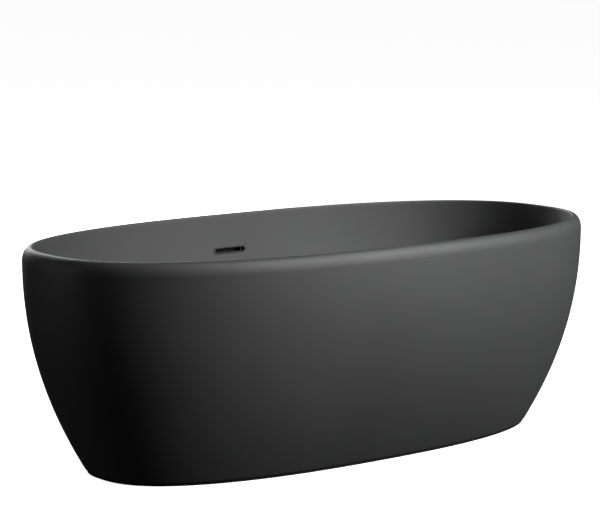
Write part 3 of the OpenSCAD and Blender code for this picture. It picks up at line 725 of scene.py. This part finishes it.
def value_group(name, inputs, output="Value"):
    """A new shader node group with named inputs, each with its default, and one output."""
    group = bpy.data.node_groups.new(name, "ShaderNodeTree")
    group.interface.new_socket("Vector", in_out="INPUT", socket_type="NodeSocketVector")
    for socket_name, default in inputs.items():
        socket = group.interface.new_socket(socket_name, in_out="INPUT", socket_type="NodeSocketFloat")
        socket.default_value = default
    group.interface.new_socket(output, in_out="OUTPUT", socket_type="NodeSocketFloat")
    return group, group.nodes.new("NodeGroupInput"), group.nodes.new("NodeGroupOutput")


def uneven_group():
    """Noise between two levels: the slight unevenness that every real surface has."""
    group, source, result = value_group("Uneven", {"Scale": 8.0, "Detail": 3.0, "Low": 0.0, "High": 1.0})
    noise = group.nodes.new("ShaderNodeTexNoise")
    levels = group.nodes.new("ShaderNodeMapRange")
    levels.inputs["From Min"].default_value = 0.3
    levels.inputs["From Max"].default_value = 0.7
    link = group.links.new
    link(source.outputs["Vector"], noise.inputs["Vector"])
    link(source.outputs["Scale"], noise.inputs["Scale"])
    link(source.outputs["Detail"], noise.inputs["Detail"])
    link(noise.outputs["Fac"], levels.inputs["Value"])
    link(source.outputs["Low"], levels.inputs["To Min"])
    link(source.outputs["High"], levels.inputs["To Max"])
    link(levels.outputs["Result"], result.inputs["Value"])
    return group


def specks_group():
    """Round cells of a given size, darker at their edges: moulded grain, flakes or plating."""
    group, source, result = value_group("Specks", {"Scale": 400.0, "Low": 0.0, "High": 1.0})
    cells = group.nodes.new("ShaderNodeTexVoronoi")
    levels = group.nodes.new("ShaderNodeMapRange")
    levels.inputs["From Max"].default_value = 0.7
    link = group.links.new
    link(source.outputs["Vector"], cells.inputs["Vector"])
    link(source.outputs["Scale"], cells.inputs["Scale"])
    link(cells.outputs["Distance"], levels.inputs["Value"])
    link(source.outputs["Low"], levels.inputs["To Min"])
    link(source.outputs["High"], levels.inputs["To Max"])
    link(levels.outputs["Result"], result.inputs["Value"])
    return group


class Finish:
    """One material under construction: a Principled shader and what feeds it."""

    def __init__(self, name, **sockets):
        self.material = bpy.data.materials.new(name)
        self.material.use_nodes = True
        self.nodes = self.material.node_tree.nodes
        self.link = self.material.node_tree.links.new
        self.shader = self.nodes["Principled BSDF"]
        self.place = self.nodes.new("ShaderNodeTexCoord").outputs["Object"]
        for key, value in sockets.items():
            self.shader.inputs[key.replace("_", " ")].default_value = value
        FINISHES[name] = self.material

    def group(self, name, stretch=None, **values):
        """Places a shared group and returns its output."""
        node = self.nodes.new("ShaderNodeGroup")
        node.node_tree = bpy.data.node_groups[name]
        for key, value in values.items():
            node.inputs[key].default_value = value
        place = self.place
        if stretch:
            mapping = self.nodes.new("ShaderNodeMapping")
            mapping.inputs["Scale"].default_value = stretch
            self.link(place, mapping.inputs["Vector"])
            place = mapping.outputs["Vector"]
        self.link(place, node.inputs["Vector"])
        return node.outputs["Value"]

    def two_tone(self, base, low, high, factor):
        """Base colour between two strengths of one colour."""
        ramp = self.nodes.new("ShaderNodeMix")
        ramp.data_type = "RGBA"
        ramp.inputs["A"].default_value = (*[min(1.0, c * low) for c in base], 1.0)
        ramp.inputs["B"].default_value = (*[min(1.0, c * high) for c in base], 1.0)
        self.link(factor, ramp.inputs["Factor"])
        self.link(ramp.outputs["Result"], self.shader.inputs["Base Color"])
        return ramp

    def roughness(self, factor):
        self.link(factor, self.shader.inputs["Roughness"])

    def bump(self, height, strength, distance):
        node = self.nodes.new("ShaderNodeBump")
        node.inputs["Strength"].default_value = strength
        node.inputs["Distance"].default_value = distance
        self.link(height, node.inputs["Height"])
        self.link(node.outputs["Normal"], self.shader.inputs["Normal"])


def make_shell(colours):
    """Satin black acrylic: very even, with a faint orange peel."""
    f = Finish("shell", IOR=1.49, Specular_IOR_Level=0.5)
    f.two_tone(colours.shell, 0.92, 1.1, f.group("Uneven", Scale=3.0, Detail=2.0))
    f.roughness(f.group("Uneven", Scale=5.0, Detail=5.0, Low=0.56, High=0.61))
    f.bump(f.group("Uneven", Scale=260.0, Detail=2.0), 0.12, 0.0002)


def make_backing(colours):
    """Chopped glass fibre in resin: pale, rough and streaky."""
    f = Finish("backing", Roughness=0.55)
    strands = f.group("Uneven", Scale=60.0, Detail=6.0, stretch=(1.0, 3.5, 1.0))
    f.two_tone(colours.backing, 0.75, 1.15, strands)
    f.bump(strands, 0.6, 0.0015)


def make_plain(name, base, rough, spread, grain, grain_depth, **sockets):
    """A moulded or coated finish: slight unevenness in colour and gloss, with a fine grain."""
    f = Finish(name, **sockets)
    f.two_tone(base, 0.88, 1.12, f.group("Uneven", Scale=25.0, Detail=4.0))
    f.roughness(f.group("Uneven", Scale=40.0, Detail=5.0, Low=rough - spread, High=rough + spread))
    f.bump(f.group("Specks", Scale=grain), 0.25, grain_depth)


def make_timber(colours):
    """Sawn softwood with its grain along the block."""
    f = Finish("timber", Roughness=0.7)
    grain = f.group("Uneven", Scale=18.0, Detail=5.0, stretch=(1.0, 9.0, 9.0))
    f.two_tone(colours.timber, 0.7, 1.15, grain)
    f.bump(grain, 0.4, 0.0006)


def make_board(colours):
    """Chipboard: flakes of mixed colour under a thin sealer."""
    f = Finish("board", Roughness=0.6)
    flakes = f.group("Specks", Scale=220.0, stretch=(1.0, 2.2, 1.0))
    f.two_tone(colours.board, 1.2, 0.65, flakes)
    f.bump(flakes, 0.3, 0.0004)


class BATH_OT_finishes(bpy.types.Operator):
    """Make every finish and give the carried-over pieces theirs"""

    bl_idname = "bath.finishes"
    bl_label = "Finishes"

    def execute(self, context):
        colours = context.scene.bath_colours
        uneven_group()
        specks_group()
        make_shell(colours)
        make_backing(colours)
        make_timber(colours)
        make_board(colours)
        make_plain("rubber", colours.rubber, 0.85, 0.06, 900.0, 0.0001, Specular_IOR_Level=0.15)
        make_plain("frame_paint", colours.frame_paint, 0.42, 0.06, 700.0, 0.0002)
        make_plain("zinc", colours.zinc, 0.34, 0.08, 300.0, 0.00005, Metallic=1.0)
        make_plain("bare_steel", colours.bare_steel, 0.5, 0.1, 300.0, 0.0001, Metallic=1.0)
        make_plain("stainless", colours.stainless, 0.26, 0.05, 500.0, 0.00003, Metallic=1.0)
        make_plain("brass", colours.brass, 0.3, 0.05, 500.0, 0.00003, Metallic=1.0)
        make_plain("black_metal", colours.black_metal, 0.40, 0.03, 1200.0, 0.00005)
        make_plain("black_plastic", colours.black_plastic, 0.6, 0.05, 1000.0, 0.0001, Specular_IOR_Level=0.3)
        make_plain("drain_plastic", colours.drain_plastic, 0.38, 0.05, 800.0, 0.0001)
        make_plain("hose_plastic", colours.hose_plastic, 0.42, 0.05, 800.0, 0.0001)
        of_slot = {
            "bath_shell": "shell", "rubber": "rubber", "board": "board", "timber": "timber",
            "frame_steel": "frame_paint", "zinc_steel": "zinc", "bare_steel": "bare_steel",
            "stainless_steel": "stainless", "brass": "brass", "waste_metal": "black_metal",
            "black_plastic": "black_plastic", "drain_plastic": "drain_plastic",
            "hose_plastic": "hose_plastic",
        }
        for part in frame["record"]["subparts"]:
            node = frame["nodes"][part["node"]]
            node.data.materials.clear()
            node.data.materials.append(finish(of_slot[part["material_slot"]]))
        return {"FINISHED"}


# ---------------------------------------------------------------- stage


LIGHT_DISTANCE = 5.0
LIGHT_SIZE = 2.4
LIGHT_TARGET = Vector((0.0, 0.0, 0.35))


def softbox(name, bearing, rise, power):
    """A square soft light that faces the bath from this bearing and height."""
    turn, tilt = math.radians(bearing), math.radians(rise)
    away = Vector((math.cos(turn) * math.cos(tilt), math.sin(turn) * math.cos(tilt), math.sin(tilt)))
    light = bpy.data.lights.new(name, "AREA")
    light.shape = "SQUARE"
    light.size = LIGHT_SIZE
    light.energy = power
    lamp = bpy.data.objects.new(name, light)
    lamp.location = LIGHT_TARGET + away * LIGHT_DISTANCE
    lamp.rotation_euler = (-away).to_track_quat("-Z", "Y").to_euler()
    bpy.context.scene.collection.objects.link(lamp)


class BATH_OT_stage(bpy.types.Operator):
    """Set up the camera, the soft studio light and the pale floor"""

    bl_idname = "bath.stage"
    bl_label = "Stage"

    def execute(self, context):
        scene = context.scene
        scene.view_settings.view_transform = "Standard"
        yaw, pitch, roll = 0.8938, 0.1422, 0.0017
        ahead = Vector((math.cos(yaw) * math.cos(pitch), math.sin(yaw) * math.cos(pitch), -math.sin(pitch)))
        right = Vector((math.sin(yaw), -math.cos(yaw), 0.0))
        up = right.cross(ahead)
        side = math.cos(roll) * right + math.sin(roll) * up
        upright = math.cos(roll) * up - math.sin(roll) * right
        camera_data = bpy.data.cameras.new("camera")
        camera_data.sensor_width = 36.0
        camera_data.lens = 143.57
        camera_data.clip_end = 500.0
        camera = bpy.data.objects.new("camera", camera_data)
        camera.matrix_world = Matrix((
            (side.x, upright.x, -ahead.x, -3.977),
            (side.y, upright.y, -ahead.y, -4.881),
            (side.z, upright.z, -ahead.z, 1.404),
            (0.0, 0.0, 0.0, 1.0),
        ))
        scene.collection.objects.link(camera)
        scene.camera = camera

        bpy.ops.object.select_all(action="DESELECT")
        bpy.ops.mesh.primitive_plane_add(size=300.0, location=(0, 0, 0))
        floor = context.object
        floor.name = "studio_floor"
        pale = bpy.data.materials.new("studio_floor")
        pale.use_nodes = True
        shader = pale.node_tree.nodes["Principled BSDF"]
        shader.inputs["Base Color"].default_value = (0.86, 0.86, 0.86, 1.0)
        shader.inputs["Roughness"].default_value = 0.9
        shader.inputs["Emission Color"].default_value = (1.0, 1.0, 1.0, 1.0)
        shader.inputs["Emission Strength"].default_value = 0.96
        floor.data.materials.append(pale)
        floor.visible_glossy = False
        floor.visible_diffuse = False
        floor.visible_shadow = False

        world = bpy.data.worlds.new("studio")
        world.use_nodes = True
        nodes, link = world.node_tree.nodes, world.node_tree.links.new
        soft = nodes["Background"]
        soft.inputs["Color"].default_value = (1.0, 1.0, 1.0, 1.0)
        soft.inputs["Strength"].default_value = 0.01
        seen = nodes.new("ShaderNodeBackground")
        seen.inputs["Color"].default_value = (1.0, 1.0, 1.0, 1.0)
        path = nodes.new("ShaderNodeLightPath")
        blend = nodes.new("ShaderNodeMixShader")
        link(path.outputs["Is Camera Ray"], blend.inputs["Fac"])
        link(soft.outputs["Background"], blend.inputs[1])
        link(seen.outputs["Background"], blend.inputs[2])
        link(blend.outputs["Shader"], nodes["World Output"].inputs["Surface"])
        scene.world = world

        # each softbox: bearing round the bath from +X, height above the horizon, both in degrees, and power
        for name, bearing, rise, power in (
            ("key", 300, 32, 310.0),
            ("low_fill", 300, 8, 78.0),
            ("top_right", 315, 58, 52.0),
            ("top_front", 270, 58, 40.0),
            ("right_fill", 330, 8, 22.0),
            ("back_edge", 60, 8, 34.0),
            ("left_edge", 150, 8, 18.0),
            ("floor_bounce", 290, -48, 4.0),
            ("back_fill", 80, 22, 150.0),
        ):
            softbox(name, bearing, rise, power)
        return {"FINISHED"}


class BATH_PT_panel(bpy.types.Panel):
    """The bath's pieces, sizes and colours"""

    bl_idname = "BATH_PT_panel"
    bl_label = "Bath"
    bl_space_type = "VIEW_3D"
    bl_region_type = "UI"
    bl_category = "Bath"

    def draw(self, context):
        layout = self.layout
        for operator in OPERATORS:
            layout.operator(operator.bl_idname)
        for group in (context.scene.bath_sizes, context.scene.bath_colours):
            for name in group.__annotations__:
                layout.prop(group, name)


OPERATORS = (
    BATH_OT_finishes,
    BATH_OT_basin,
    BATH_OT_skirt,
    BATH_OT_edge_seal,
    BATH_OT_overflow,
    BATH_OT_plug,
    BATH_OT_hose,
    BATH_OT_feet,
    BATH_OT_stage,
)
CLASSES = (BathSizes, BathColours, *OPERATORS, BATH_PT_panel)


def register():
    for cls in CLASSES:
        bpy.utils.register_class(cls)
    bpy.types.Scene.bath_sizes = PointerProperty(type=BathSizes)
    bpy.types.Scene.bath_colours = PointerProperty(type=BathColours)


def unregister():
    del bpy.types.Scene.bath_colours
    del bpy.types.Scene.bath_sizes
    for cls in reversed(CLASSES):
        bpy.utils.unregister_class(cls)


def main():
    """Builds everything."""
    register()
    for operator in OPERATORS:
        group, name = operator.bl_idname.split(".")
        getattr(getattr(bpy.ops, group), name)()


if __name__ == "__main__":
    main()
